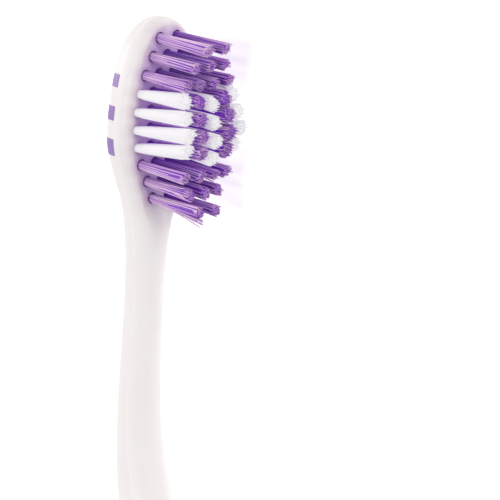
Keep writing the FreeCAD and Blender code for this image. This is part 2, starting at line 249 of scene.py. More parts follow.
def placed(setback, rise, across):
    """Points in the frame from distances to the head tip, heights over the face and side
    offsets: X runs back from the tip, Y against the bristles and Z from the middle height."""
    sizes = bpy.context.scene.toothbrush_sizes
    face_level = (sizes.palm_rise - sizes.head_thickness) / 2
    mid_height = max(sizes.head_width, sizes.handle_width) / 2
    return np.stack(np.broadcast_arrays(
        sizes.overall_length / 2 - setback, face_level - rise, mid_height + across), -1)


def section_rows(sizes):
    """Every cross-section in metres: a share times its part's length, depth or half width."""
    handle_start = sizes.head_length + sizes.neck_length
    parts = [
        (HEAD_SECTION_SHARES, 0.0, sizes.head_length, -sizes.head_thickness, sizes.head_crown,
         sizes.head_width),
        (NECK_SECTION_SHARES, sizes.head_length, sizes.neck_length, -sizes.neck_depth, 0.0, sizes.neck_width),
        (HANDLE_SECTION_SHARES, handle_start, sizes.overall_length - handle_start, sizes.palm_rise, 0.0,
         sizes.handle_width),
    ]
    return np.vstack([
        shares * [span, depth, depth, width / 2, 1, 1, 1, 1] + [start, crown, 0, 0, 0, 0, 0, 0]
        for shares, start, span, depth, crown, width in parts])


def corner_poles(rows):
    """Pull points (rise, across) of half a cross-section. A front corner curve runs from the
    front line to the ridge and a back corner curve on to the back line; a crease sets the
    front corner in at the ridge."""
    _, front, back, half, ridge, full_front, full_back, crease = rows.T
    level = front - ridge * (front - back)
    zero = np.zeros_like(half)
    rise = np.stack([front, front, level + full_front * (front - level), level,
                     level - full_back * (level - back), back, back], 1)
    across = np.stack([zero, full_front * half, half - crease * half, half, half, full_back * half, zero], 1)
    return np.stack([rise, across], 2)


def smooth_through(knots, values, at):
    """Cubic through all values with an even bend and straight ends: the second slopes solve
    the usual three-term rows, and each span is the cubic between its two second slopes."""
    count = len(knots)
    span = np.diff(knots)
    slope = np.diff(values, axis=0) / span[:, None]
    rows = np.eye(count)
    i = np.arange(1, count - 1)
    rows[i, i - 1] = span[:-1]
    rows[i, i] = 2 * (span[:-1] + span[1:])
    rows[i, i + 1] = span[1:]
    bend = np.zeros_like(values)
    bend[1:-1] = 6 * np.diff(slope, axis=0)
    bend = np.linalg.solve(rows, bend)
    k = np.clip(np.searchsorted(knots, at) - 1, 0, count - 2)
    h = span[k][:, None]
    left = (at - knots[k])[:, None]
    right = (knots[k + 1] - at)[:, None]
    return ((bend[k] * right ** 3 + bend[k + 1] * left ** 3) / (6 * h)
            + (values[k] / h - bend[k] * h / 6) * right + (values[k + 1] / h - bend[k + 1] * h / 6) * left)


class BrushForm:
    """The outer form of the moulding as a surface of two parameters. The stride runs from the
    head tip to the tail by the distance that the pull points travel; the turn runs from the
    front line at 0 over the ridge at 1 to the back line at 2, and below 0 on the low side."""

    def __init__(self, sizes):
        self.sizes = sizes
        rows = section_rows(sizes)
        poles = corner_poles(rows)
        self.values = np.column_stack([rows[:, 0], poles.reshape(len(rows), -1)])
        steps = np.diff(np.dstack([np.repeat(rows[:, :1], 7, 1), poles]), axis=0)
        self.knots = np.concatenate([[0.0], np.cumsum(np.linalg.norm(steps, axis=2).mean(1))])
        self.fine = np.linspace(0.0, self.knots[-1], 20001)
        self.fine_setback = smooth_through(self.knots, self.values[:, :1], self.fine)[:, 0]

    def stride(self, setback):
        """Stride at a distance from the head tip, read off a fine walk."""
        return np.interp(setback, self.fine_setback, self.fine)

    def sections(self, stride):
        """Distance from the head tip and pull points of the cross-section at each stride."""
        values = smooth_through(self.knots, self.values, stride)
        return values[:, 0], values[:, 1:].reshape(-1, 7, 2)

    def skin(self, stride, turn, lift=0.0):
        """Points (setback, rise, across): the cubic corner curve of the section at each turn,
        moved out of the surface by the lift along the section's own outward direction."""
        setback, poles = self.sections(stride)
        turn = np.broadcast_to(turn, (len(stride), np.shape(turn)[-1]))
        side = np.where(turn < 0, -1.0, 1.0)
        part = (np.abs(turn) > 1).astype(int)
        u = (np.abs(turn) - part)[..., None]
        row = np.arange(len(stride))[:, None]
        p = [poles[row, 3 * part + k] for k in range(4)]
        point = ((1 - u) ** 3 * p[0] + 3 * (1 - u) ** 2 * u * p[1]
                 + 3 * (1 - u) * u ** 2 * p[2] + u ** 3 * p[3])
        run = (1 - u) ** 2 * (p[1] - p[0]) + 2 * (1 - u) * u * (p[2] - p[1]) + u ** 2 * (p[3] - p[2])
        run = run / np.maximum(np.linalg.norm(run, axis=2, keepdims=True), 1e-9)
        rise = point[..., 0] + run[..., 1] * lift
        across = point[..., 1] - run[..., 0] * lift
        return np.broadcast_to(setback[:, None], rise.shape), rise, across * side

    def face_limit(self, setback):
        """Height that the front is cut to: flat over the face, then a straight ramp out."""
        runout = (setback - self.sizes.face_length) / self.sizes.face_runout
        ramp = 2 * self.sizes.head_crown * np.clip(runout, 0.0, 1.0)
        return np.where(runout > 1.0, self.sizes.palm_rise * 2, ramp)


def mesh_object(name, points, quads, triangles, material):
    """Object of its own from whole arrays of points, four-sided and three-sided faces."""
    mesh = bpy.data.meshes.new(name)
    points = np.asarray(points, dtype=np.float32).reshape(-1, 3)
    quads = np.asarray(quads, dtype=np.int32).reshape(-1, 4)
    triangles = np.asarray(triangles, dtype=np.int32).reshape(-1, 3)
    mesh.vertices.add(len(points))
    mesh.vertices.foreach_set("co", points.ravel())
    mesh.loops.add(quads.size + triangles.size)
    mesh.loops.foreach_set("vertex_index", np.concatenate([quads.ravel(), triangles.ravel()]))
    starts = np.concatenate([np.arange(len(quads)) * 4, quads.size + np.arange(len(triangles)) * 3])
    mesh.polygons.add(len(starts))
    mesh.polygons.foreach_set("loop_start", starts.astype(np.int32))
    mesh.update(calc_edges=True)
    mesh.validate()
    mesh.shade_smooth()
    mesh.materials.append(material)
    piece = bpy.data.objects.new(name, mesh)
    bpy.context.scene.collection.objects.link(piece)
    return piece


def loop_faces(rows, around):
    """Quads between neighbouring rows of a grid whose rows are closed loops."""
    i = np.arange(rows - 1)[:, None] * around
    j = np.arange(around)[None, :]
    k = (j + 1) % around
    return np.stack([i + j, i + k, i + around + k, i + around + j], -1).reshape(-1, 4)


def fan(pole, ring, around, turned=False):
    """Triangles from a pole to each step of a closed ring, whose first point's number is given;
    turned ones look the other way."""
    j = np.arange(around)
    k = (j + 1) % around
    if turned:
        j, k = k, j
    return np.stack(np.broadcast_arrays(pole, ring + j, ring + k), -1).reshape(-1, 3)


def eased(count, share):
    """Steps from 0 to 1: a share of half a cosine wave, closer at the ends, and the rest even."""
    even = np.linspace(0.0, 1.0, count)
    return share * (1 - np.cos(even * math.pi)) / 2 + (1 - share) * even


def with_point_values(piece, **values):
    """One number for every point of the mesh, which its finish reads by name. Poles at the end
    of the mesh that are given none get 0."""
    for name, numbers in values.items():
        whole = np.zeros(len(piece.data.vertices), dtype=np.float32)
        whole[:np.size(numbers)] = np.ravel(numbers)
        piece.data.attributes.new(name, "FLOAT", "POINT").data.foreach_set("value", whole)


def finish_piece(piece, slot, *nodes):
    """Put a piece in place of its CAD nodes, on the brush's one body."""
    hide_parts(*nodes)
    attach(piece, "root")


def tuft_places(sizes):
    """Row, column, setback, side offset, outer and white of every tuft in the field."""
    places = []
    for row, count in enumerate(TUFT_COUNTS):
        spread = ROW_SPREAD_SHARES[row] * sizes.field_half_width
        for column in range(count):
            outer = column in (0, count - 1)
            white = count == max(TUFT_COUNTS) and column % 2 == 0
            setback = sizes.first_row_setback + row * sizes.row_pitch
            places.append((row, column, setback, spread * (1 - 2 * column / (count - 1)), outer, white))
    return places


# Finishes

class Signal:
    """A socket's value in a node tree; Python's own signs join signals into Math nodes."""

    def __init__(self, shader, socket):
        self.shader = shader
        self.socket = socket

    def joined(self, operation, first, second):
        return self.shader.node("ShaderNodeMath", {"operation": operation}, {0: first, 1: second})

    def __add__(self, other):
        return self.joined("ADD", self, other)

    def __radd__(self, other):
        return self.joined("ADD", other, self)

    def __sub__(self, other):
        return self.joined("SUBTRACT", self, other)

    def __rsub__(self, other):
        return self.joined("SUBTRACT", other, self)

    def __mul__(self, other):
        return self.joined("MULTIPLY", self, other)

    def __rmul__(self, other):
        return self.joined("MULTIPLY", other, self)


class Shader:
    """The node tree of a material or a world."""

    def __init__(self, owner, output):
        owner.use_nodes = True
        self.owner = owner
        self.tree = owner.node_tree
        self.tree.nodes.clear()
        self.output = self.tree.nodes.new(output)

    def node(self, kind, settings, inputs, output=0):
        """A node of any kind: its settings first, then the values or links of its sockets."""
        made = self.tree.nodes.new(kind)
        for name, value in settings.items():
            setattr(made, name, value)
        for key, value in inputs.items():
            if isinstance(value, Signal):
                self.tree.links.new(value.socket, made.inputs[key])
            elif made.inputs[key].type == "RGBA":
                made.inputs[key].default_value = (*value, 1.0)
            else:
                made.inputs[key].default_value = value
        return Signal(self, made.outputs[output])

    def clamped(self, signal):
        return self.node("ShaderNodeClamp", {}, {"Value": signal})

    def mixed(self, share, first, second):
        """One colour turning into another as the share, which the node clamps, goes from 0 to 1."""
        return self.node("ShaderNodeMix", {"data_type": "RGBA"}, {0: share, 6: first, 7: second}, 2)

    def looking_rays(self):
        """One for rays of the camera and for those that a gloss or a clear body sends on."""
        rays = [self.node("ShaderNodeLightPath", {}, {}, "Is %s Ray" % kind)
                for kind in ("Camera", "Glossy", "Transmission")]
        return self.clamped(rays[0] + rays[1] + rays[2])

    def done(self, shader):
        self.tree.links.new(shader.socket, self.output.inputs["Surface"])
        return self.owner


class Finish(Shader):
    """A procedural material, with what its patterns need."""

    def __init__(self, name):
        super().__init__(bpy.data.materials.new(name), "ShaderNodeOutputMaterial")
        self.coordinates = self.node("ShaderNodeTexCoord", {}, {}, "Object")

    def noise(self, scale, detail=3.0, stretch=(1.0, 1.0, 1.0)):
        """Soft noise over the object, stretched along each axis."""
        place = self.node("ShaderNodeMapping", {}, {"Vector": self.coordinates, "Scale": stretch})
        return self.node("ShaderNodeTexNoise", {}, {"Vector": place, "Scale": scale, "Detail": detail})

    def point_values(self, *names):
        """Numbers that the mesh has for every point, by name."""
        return [self.node("ShaderNodeAttribute", {"attribute_name": name}, {}, "Fac") for name in names]

    def bump(self, height, strength, distance):
        return self.node("ShaderNodeBump", {}, {"Height": height, "Strength": strength, "Distance": distance})

    def surface(self, **sockets):
        """The finished material, with one principled shader."""
        inputs = {name.replace("_", " "): value for name, value in sockets.items()}
        return self.done(self.node("ShaderNodeBsdfPrincipled", {}, inputs))


def toned(colour, *factors):
    """A colour with its red, green and blue each times a factor."""
    return tuple(c * f for c, f in zip(colour, factors))


def milky_plastic(colours):
    """Moulded polypropylene: a little light gets in, a faint mottle, and a satin flow skin."""
    finish = Finish("milky_plastic")
    mottle = finish.noise(90.0, 2.0)
    cloud = finish.noise(900.0)
    glow, depth, shade, bead = finish.point_values(
        "bristle_glow", "hole_depth", "field_shade", "parting_line")
    white, lilac = colours.milky_white, colours.bristle_glow
    body = finish.mixed(mottle * 1.6 - 0.3, white, toned(white, 1.0, 0.985, 0.975))
    # Painted highlight along the bead on the ridge
    body = finish.mixed(bead * 0.45, body, (0.97, 0.955, 0.93))
    # Painted shade at the tufts' feet, mottled by the cloud noise
    body = finish.mixed(shade * (0.52 + 0.6 * cloud), body, (0.52, 0.40, 0.45))
    # Painted lilac light that the purple tufts throw on the face
    body = finish.mixed(glow, body, lilac)
    # Painted shade deep in the tufts' bores
    body = finish.mixed(depth, body, (0.08, 0.02, 0.20))
    ripple = finish.noise(2600.0, 2.0)
    # The same lilac also glows from the face as painted light, though the face is no lamp
    return finish.surface(
        Base_Color=body, Roughness=0.30 + 0.12 * cloud, Normal=finish.bump(ripple, 0.12, 0.04 * MM),
        Specular_IOR_Level=0.25, Emission_Color=finish.mixed(glow, BLACK, lilac), Emission_Strength=0.19,
        Subsurface_Weight=0.12, Subsurface_Radius=(1.0, 0.85, 0.8), Subsurface_Scale=1.2 * MM)


def soft_rubber(colours):
    """Thermoplastic rubber: matt, with a fine spark-eroded grain and slight cloudiness."""
    finish = Finish("soft_rubber")
    cloud = finish.noise(140.0)
    grain = finish.noise(5200.0)
    dusty = tuple(c * 0.84 + 0.08 for c in colours.soft_purple)
    body = finish.mixed(cloud * 1.4 - 0.25, colours.soft_purple, dusty)
    return finish.surface(
        Base_Color=body, Roughness=0.30 + 0.12 * grain, Normal=finish.bump(grain, 0.28, 0.06 * MM), IOR=1.6)


def nylon(name):
    """Finish of filaments, with its streaks and the point values that both colours read."""
    finish = Finish(name)
    streak = finish.noise(700.0, 2.0, (1.0, 0.12, 1.0))
    return finish, streak, *finish.point_values("strand", "along", "inner")


def purple_nylon(colours):
    """Clear purple filaments: each has its own tone, and the roots and the inner tufts, which
    less light reaches, are deeper."""
    finish, streak, strand, along, inner = nylon("purple_nylon")
    # Share of lilac: each filament's own tone and streaks, less towards the tips, and less on the inner tufts
    # as painted shade
    light = strand * 0.8 + streak * 0.6 - along * 0.15 - inner * (0.26 - along * 0.20) - 0.07
    body = finish.mixed(light, colours.nylon_purple, colours.nylon_lilac)
    # Painted shade: deeper purple at the roots, on the inner tufts and over the packed heart between the
    # filaments
    root = finish.clamped(0.35 + inner * 0.5 - along * (1.2 - inner * 0.45))
    body = finish.mixed(root + finish.point_values("heart")[0] * 0.85, body, colours.nylon_shade)
    return finish.surface(
        Base_Color=body, Roughness=0.25 + 0.15 * strand, Specular_IOR_Level=0.16,
        Normal=finish.bump(streak, 0.1, 0.04 * MM))


def white_nylon(colours):
    """Milk-white filaments. Light wanders from one to the next, which a small glow of painted light stands
    for, and on the sides that face the middle of the field the purple light that the tufts round them throw
    is painted in."""
    finish, streak, strand, along, inner = nylon("white_nylon")
    white = colours.nylon_white
    body = finish.mixed(strand * 0.6 + streak * 0.5, toned(white, 0.94, 0.93, 0.965), white)
    # Painted purple light from the tufts round them on the inward sides, fading towards the tips
    body = finish.mixed(inner * finish.clamped(1.4 - along * 1.6), body, colours.nylon_blush)
    # The whole finish glows as painted light, standing for light passed from filament to filament
    return finish.surface(
        Base_Color=body, Roughness=0.45 + 0.15 * strand, Specular_IOR_Level=0.3,
        Normal=finish.bump(streak, 0.1, 0.04 * MM), Emission_Color=body, Emission_Strength=0.58)


def rolled_brass(colours):
    """Thin rolled strip: fine rolling lines and a slightly dulled skin."""
    finish = Finish("rolled_brass")
    lines = finish.noise(4000.0, 3.0, (1.0, 1.0, 0.08))
    stain = finish.noise(1500.0, 2.0)
    body = finish.mixed(stain * 1.3 - 0.3, colours.brass, toned(colours.brass, 0.8, 0.72, 0.6))
    return finish.surface(
        Base_Color=body, Metallic=1.0, Roughness=0.28 + 0.2 * lines,
        Normal=finish.bump(lines, 0.2, 0.01 * MM))


def finish_named(maker):
    """The finish that a maker gives, made once and shared by the pieces that use it."""
    return bpy.data.materials.get(maker.__name__) or maker(bpy.context.scene.toothbrush_colours)


# Pieces

class ToothbrushOperator:
    """What all of the brush's operators share."""
    bl_options = {"REGISTER"}


def standing(right, up, back, spot):
    """Matrix that turns X, Y and Z to three directions and moves the origin to a spot."""
    return Matrix([(right[k], up[k], back[k], spot[k]) for k in range(3)] + [(0, 0, 0, 1)])


class TOOTHBRUSH_OT_camera(ToothbrushOperator, bpy.types.Operator):
    """Set the camera that looks down on the head from the front"""
    bl_idname = "toothbrush.camera"
    bl_label = "Camera"

    def execute(self, context):
        data = bpy.data.cameras.new("camera")
        data.sensor_width = 36.0
        data.lens = 218.334
        camera = bpy.data.objects.new("camera", data)
        camera.matrix_world = standing(
            right=(0.05566, -0.69071, -0.72098), up=(0.96114, 0.23263, -0.14866),
            back=(0.2704, -0.68469, 0.67682), spot=(0.179499, -0.300315, 0.291517))
        context.scene.collection.objects.link(camera)
        context.scene.camera = camera
        return {"FINISHED"}


def with_bores(sizes, setback, rise, across, on_face):
    """Sink the face's points that lie in a tuft's bore: the outermost go onto its rim, the next down to its
    shoulder and the others to its floor. Each point also gets the painted lilac light of the tufts, which
    fades exponentially from each rim and is summed over them, the painted shade at their feet, which fades
    the same way from the nearest rim, and how deep it is sunk, which sets the painted shade in the bore."""
    start_s, start_a = setback, across
    setback, rise, across = setback.copy(), rise.copy(), across.copy()
    glow, nearest, shade, sunk = np.zeros((4, *rise.shape))
    for _, _, at, side, _, white in tuft_places(sizes):
        rim = sizes.hole_diameter / 2 * (WHITE_BORE_SHARE if white else 1.0)
        away_s, away_a = start_s - at, start_a - side
        away = np.maximum(np.hypot(away_s, away_a), 0.0001 * MM)
        outside = np.maximum(away - rim, 0.0)
        light = np.exp(-outside / GLOW_FALLOFF) * (WHITE_GLOW_SHARE if white else 1.0)
        glow, nearest = glow + light, np.maximum(nearest, light)
        shade = np.maximum(shade, np.exp(-outside / SHADE_FALLOFF))
        inside = on_face & (away < rim)
        band = (rim - away) / (1.42 * FACE_STEP)
        to = np.select([band < 1, band < 2], [rim, rim * 0.98], away * 0.9)
        down = np.select([band < 1, band < 2], [0.0, BORE_SHOULDER], BORE_FLOOR)
        setback[inside] = (at + away_s * to / away)[inside]
        across[inside] = (side + away_a * to / away)[inside]
        rise[inside] = -down[inside]
        sunk[inside] = (down / BORE_DARK_DEPTH)[inside] * (WHITE_DARK_SHARE if white else 1.0)
    # Most of the lilac light lies between the tufts, where several of them throw it
    near_face = rise > -LIGHT_REACH
    return setback, rise, across, (1.3 * glow - 0.98 * nearest) * near_face, shade * near_face, sunk


class TOOTHBRUSH_OT_moulding(ToothbrushOperator, bpy.types.Operator):
    """Make the white moulding: head with its bored face, neck and S-shaped handle"""
    bl_idname = "toothbrush.moulding"
    bl_label = "Moulding"

    def execute(self, context):
        """A grid of strides and turns on the brush form, cut flat at the face, with the bores
        sunk in it and a pole at each end."""
        sizes = context.scene.toothbrush_sizes
        form = BrushForm(sizes)
        tip_end, field_end, tail_start = 1.0 * MM, sizes.face_length + MM, sizes.overall_length - 4.0 * MM
        stride = np.concatenate([
            np.linspace(0.0, form.stride(tip_end), TIP_ROWS)[:-1],
            form.stride(np.arange(tip_end, field_end, FACE_STEP)),
            form.stride(np.arange(field_end, tail_start, HANDLE_STEP)),
            np.linspace(form.stride(tail_start), form.knots[-1], TAIL_ROWS),
        ])
        # Turns that give even side steps over the face, then even turns round the back
        curve = np.linspace(0.0, 1.0, 400)
        reach = 3 * (1 - curve) ** 2 * curve * 0.98 + 3 * (1 - curve) * curve ** 2 + curve ** 3
        face = np.interp(np.linspace(0.0, 0.985, FACE_COLUMNS), reach, curve)
        half = np.concatenate([
            face, np.linspace(face[-1], 0.968, 4)[1:], [0.982, 1.0, 1.018, 1.036],
            np.linspace(1.036, 2.0, BACK_COLUMNS)[1:]])
        turn = np.concatenate([half, -half[1:-1][::-1]])
        # Where the mould's two halves meet: a fine bead along the ridge on both sides, which the finish also
        # lightens as a painted highlight
        parting = np.clip(1 - np.abs(np.abs(turn) - 1) / PARTING_HALF_TURN, 0.0, 1.0)
        setback, rise, across = form.skin(stride, turn, parting * PARTING_LIFT)
        rise = np.minimum(rise, form.face_limit(setback))
        on_face = (rise > -0.01 * MM) & (setback < sizes.face_length) & (np.abs(turn) < 1)
        setback, rise, across, glow, shade, sunk = with_bores(sizes, setback, rise, across, on_face)
        points = placed(setback, rise, across)
        rows, around = rise.shape
        poles = np.array([points[0].mean(0), points[-1].mean(0)])
        poles[:, 0] += np.array([0.05, -0.05]) * MM
        pole = rows * around
        caps = np.concatenate([fan(pole, 0, around, True), fan(pole + 1, pole - around, around)])
        points = np.concatenate([points.reshape(-1, 3), poles])
        piece = mesh_object(
            "moulded_handle", points, loop_faces(rows, around), caps, finish_named(milky_plastic))
        piece.data.set_sharp_from_angle(angle=math.radians(38))
        with_point_values(piece, bristle_glow=np.clip(glow, 0, 0.85), hole_depth=sunk, field_shade=shade,
                          parting_line=np.broadcast_to(parting, rise.shape))
        finish_piece(piece, "white_moulding", "handle_body")
        return {"FINISHED"}


def inlaid(name, form, stride, turn, stand, round_off):
    """A soft inlay as a closed shell on the brush form. Every row is a loop: over the top from
    one edge to the other and back underneath. The top rises from under the moulding at the
    edge, by a quarter round, to its stand over it; the underside stays inside the moulding."""
    setback, rise, across = form.skin(stride, turn)
    steps = np.hypot(np.diff(rise, axis=1), np.diff(across, axis=1))
    walk = np.concatenate([np.zeros((len(stride), 1)), np.cumsum(steps, axis=1)], 1)
    walk = walk - walk[:, -1:] / 2
    place = np.stack([setback, walk], -1)
    rim = np.concatenate([place[:, 0], place[:, -1], place[0], place[-1]])
    gap = np.full(rise.shape, np.inf)
    for part in np.array_split(rim, 24):
        gap = np.minimum(gap, np.linalg.norm(place[:, :, None] - part, axis=3).min(2))
    sunk = 0.6 * round_off
    top = (stand + sunk) * quarter_round(gap / round_off) - sunk
    under = -sunk - INLAY_DEPTH * quarter_round(gap / INLAY_ROUND)
    upper = placed(*form.skin(stride, turn, top))
    lower = placed(*form.skin(stride, turn, under))[:, ::-1]
    points = np.concatenate([upper, lower], 1)
    rows, around = points.shape[:2]
    j = np.arange(around // 2 - 1)
    strip = np.stack([j, around - 1 - j, around - 2 - j, j + 1], 1)
    caps = np.concatenate([strip, (strip + (rows - 1) * around)[:, ::-1]])
    quads = np.concatenate([loop_faces(rows, around), caps])[:, ::-1]
    return mesh_object(name, points, quads, [], finish_named(soft_rubber))


def quarter_round(share):
    """Rise of a quarter circle from its steep start at 0 to its level end at 1 and beyond."""
    return np.sqrt(1 - (1 - np.clip(share, 0.0, 1.0)) ** 2)


def edge_turn(form, stride, level):
    """Turn at which each section crosses a height: read off a fine walk down the section."""
    steps = 800
    curve = np.linspace(0.0, 2.0, steps + 1)
    _, rise, _ = form.skin(stride, curve)
    below = np.clip((rise > level[:, None]).sum(1), 1, steps)
    row = np.arange(len(stride))
    high, low = rise[row, below - 1], rise[row, below]
    share = np.clip((high - level) / np.maximum(high - low, 1e-9), 0.0, 1.0)
    return curve[below - 1] + share * (curve[1] - curve[0])


def round_the_back(edge, spread):
    """Turns from an edge on one side, over the back line at 2, to the edge on the other."""
    turn = 2 - (2 - edge)[:, None] * spread
    return np.where(turn > 2, turn - 4, turn)


class TOOTHBRUSH_OT_grips(ToothbrushOperator, bpy.types.Operator):
    """Make the soft thumb grip on the front and the long soft grip on the back"""
    bl_idname = "toothbrush.grips"
    bl_label = "Soft grips"

    def execute(self, context):
        """Rows of turns between the grip's edges, closer together near the ends and edges."""
        sizes = context.scene.toothbrush_sizes
        form = BrushForm(sizes)
        back_length = sizes.overall_length - sizes.back_grip_start - sizes.back_grip_tail_gap
        grips = [
            ("thumb_grip", sizes.thumb_grip_start, sizes.thumb_grip_length, THUMB_EDGE_SHARES, 130, 71),
            ("back_grip", sizes.back_grip_start, back_length, BACK_EDGE_SHARES, 230, 111),
        ]
        for node, start, span, shares, rows, columns in grips:
            along = eased(rows, 0.5)
            stride = form.stride(start + along * span)
            _, poles = form.sections(stride)
            share = np.maximum(smooth_through(shares[:, 0], shares[:, 1:], along)[:, 0], 0.004)
            spread = 2 * eased(columns, 0.7) - 1
            if node == "back_grip":
                edge = edge_turn(form, stride, poles[:, 6, 0] + share * sizes.back_grip_wrap)
                turn = round_the_back(edge, spread)
            else:
                edge = edge_turn(form, stride, poles[:, 0, 0] - share * sizes.thumb_grip_depth)
                turn = -edge[:, None] * spread
            piece = inlaid(node + "_cover", form, stride, turn, sizes.grip_stand, GRIP_ROUND)
            finish_piece(piece, "purple_grip", node)
        return {"FINISHED"}


class TOOTHBRUSH_OT_bars(ToothbrushOperator, bpy.types.Operator):
    """Make the three soft bars across the back and sides of the head"""
    bl_idname = "toothbrush.bars"
    bl_label = "Head bars"

    def execute(self, context):
        """Rows across each bar, with turns from its edge on one side round the back."""
        sizes = context.scene.toothbrush_sizes
        form = BrushForm(sizes)
        setback = sizes.bar_first_setback
        for number, (width, height) in enumerate(zip(BAR_WIDTHS, BAR_SIDE_HEIGHTS), 1):
            stride = form.stride(setback + eased(BAR_ROWS, 0.6) * width)
            edge = edge_turn(form, stride, np.full(len(stride), height - sizes.head_thickness))
            turn = round_the_back(edge, 2 * eased(BAR_COLUMNS, 0.5) - 1)
            piece = inlaid("head_bar_cover_%d" % number, form, stride, turn, BAR_STAND, BAR_ROUND)
            finish_piece(piece, "purple_grip", "head_bar_%d" % number)
            setback = setback + width + sizes.bar_gap
        return {"FINISHED"}


class Tuft:
    """One tuft of the field: where it stands and how it leans, flares and is trimmed."""

    def __init__(self, sizes, row, column, at, side, outer, white):
        long_row = TUFT_COUNTS[row] == max(TUFT_COUNTS)
        self.sizes, self.at, self.side, self.outer, self.white = sizes, at, side, outer, white
        self.name = "r%02d_c%d" % (row + 1, column + 1)
        kind = "white" if white else "plain"
        if long_row and not white:
            kind = "splayed" if side < 0 else "between"
        self.kind = TUFT_KINDS[kind]
        self.count = int(sizes.filament_count * (LONG_ROW_FULLNESS if long_row else 1.0))
        # The purple tufts between the white ones lean too, but less than the outer ones
        lean_share = 1.0 if outer else BETWEEN_LEAN_SHARE if long_row and not white else 0.0
        lean = math.radians(OUTER_LEAN_DEGREES[row] * lean_share)
        inward = math.radians(WHITE_INWARD_DEGREES) * np.sign(side) if white and outer else 0.0
        # Direction of the tuft: up from the face, leaning to the tip and to the middle
        self.axis = np.array([-math.sin(lean), math.cos(lean) * math.cos(inward), -math.sin(inward)])
        self.trims = (OUTER_TRIM_SHARES if outer else INNER_TRIM_SHARES)[row]
        self.reach = sizes.bristle_height * sum(self.trims) / 2
        self.packed = sizes.hole_diameter / 2 - self.kind.root_play
        # A few filaments stand loose at the near tuft of the last row
        self.has_loose = row == len(TUFT_COUNTS) - 1 and side > 0

    def trimmed(self, setback):
        """Height of the trimmed field, a straight slope from the tuft's tip side to its tail side."""
        tip_side, tail_side = self.trims
        share = tip_side + (tail_side - tip_side) * ((setback - self.at) / self.sizes.row_pitch + 0.5)
        return self.sizes.bristle_height * share

    def flared(self, root_radius, spread, height):
        """Radius that grows from the root's to the spread's, with a power of the height."""
        grow = np.clip(height / self.reach, 0.0, 1.2)
        return root_radius * (1 + (spread - 1) * grow ** self.kind.flare_power), grow

    def spot(self, height, radius, turn):
        """Setback and side offset of a point at a height, a radius and a turn from the axis."""
        return (self.at + height * self.axis[0] / self.axis[1] + radius * np.cos(turn),
                self.side + height * self.axis[2] / self.axis[1] + radius * np.sin(turn))

    def inside(self, turn):
        """How far a side of an outer tuft looks to the middle of the field, by the sine of its
        turn; an inner tuft has others on all sides."""
        if not self.outer:
            return np.ones(len(turn))
        return np.clip(0.5 - 0.9 * np.sign(self.side) * np.sin(turn), 0.0, 1.0)


def filaments(tuft, rng):
    """Six-sided tubes. Their roots lie in a sunflower packing in the bore; each flares outwards
    with a power of its height, bends a little, and ends in a rounded tip at the trimmed height
    of the field, with a slight unevenness."""
    count, rings = tuft.count, len(TUBE_LEVELS)
    index = np.arange(count)
    spin = index * GOLDEN_ANGLE + rng.uniform(0, 6.28)
    share = np.sqrt((index + 0.5) / count)
    root_radius = tuft.packed * share
    spread = tuft.kind.widest + rng.normal(0, 0.05, count)
    tip_s = tuft.at + tuft.axis[0] * tuft.reach + root_radius * spread * np.cos(spin)
    top = tuft.trimmed(tip_s) - rng.gamma(1.4, tuft.kind.unevenness, count)
    height = ROOT_LEVEL + (top - ROOT_LEVEL)[:, None] * TUBE_LEVELS
    radius, grow = tuft.flared(root_radius[:, None], spread[:, None], height)
    # One filament in twenty wanders three times as far
    wander = rng.normal(0, 0.09 * MM, (count, 2)) * np.where(rng.random((count, 1)) < 0.05, 3.0, 1.0)
    if tuft.has_loose:
        loose = np.cos(spin) * share > 0.4
        wander[:, 0] += np.where(loose, rng.uniform(0.1, 1.15, count) * MM, 0.0)
    turn = spin[:, None] + rng.normal(0, 0.05, count)[:, None] * grow
    centre_s, centre_a = tuft.spot(height, radius, turn)
    centre_s = centre_s + wander[:, :1] * grow ** 2
    centre_a = centre_a + wander[:, 1:] * grow ** 2
    thick = (tuft.sizes.filament_diameter / 2 * TUBE_GIRTHS)[None, :, None]
    angle = np.arange(TUBE_SIDES) * 2 * math.pi / TUBE_SIDES
    ring_s = centre_s[..., None] + thick * np.cos(angle)
    ring_a = centre_a[..., None] + thick * np.sin(angle)
    points = np.concatenate([
        placed(ring_s, height[..., None], ring_a).reshape(-1, 3),
        placed(centre_s[:, 0], height[:, 0], centre_a[:, 0]),
        placed(centre_s[:, -1], top, centre_a[:, -1])])
    tube = rings * TUBE_SIDES
    first, pole = index[:, None] * tube, index[:, None] + count * tube
    quads = (first[:, None] + loop_faces(rings, TUBE_SIDES))[:, :, ::-1].reshape(-1, 4)
    caps = np.concatenate([
        fan(pole, first, TUBE_SIDES), fan(pole + count, first + tube - TUBE_SIDES, TUBE_SIDES, True)])
    # A filament's tone is partly its own and partly that of its side of the tuft
    bands = rng.uniform(0, 1, 12)
    sector = (spin / (2 * math.pi) % 1 * len(bands)).astype(int)
    tone = 0.45 * rng.uniform(0, 1, count) + 0.55 * bands[sector]
    inside = tuft.inside(spin)
    up = np.broadcast_to(TUBE_LEVELS[None, :, None], ring_s.shape)
    return points, quads, caps, {
        "strand": np.concatenate([np.repeat(tone, tube), tone, tone]),
        "along": np.concatenate([up.ravel(), np.zeros(count), np.ones(count)]),
        "heart": np.zeros(len(points)),
        "inner": np.concatenate([np.repeat(inside, tube), inside, inside]),
    }


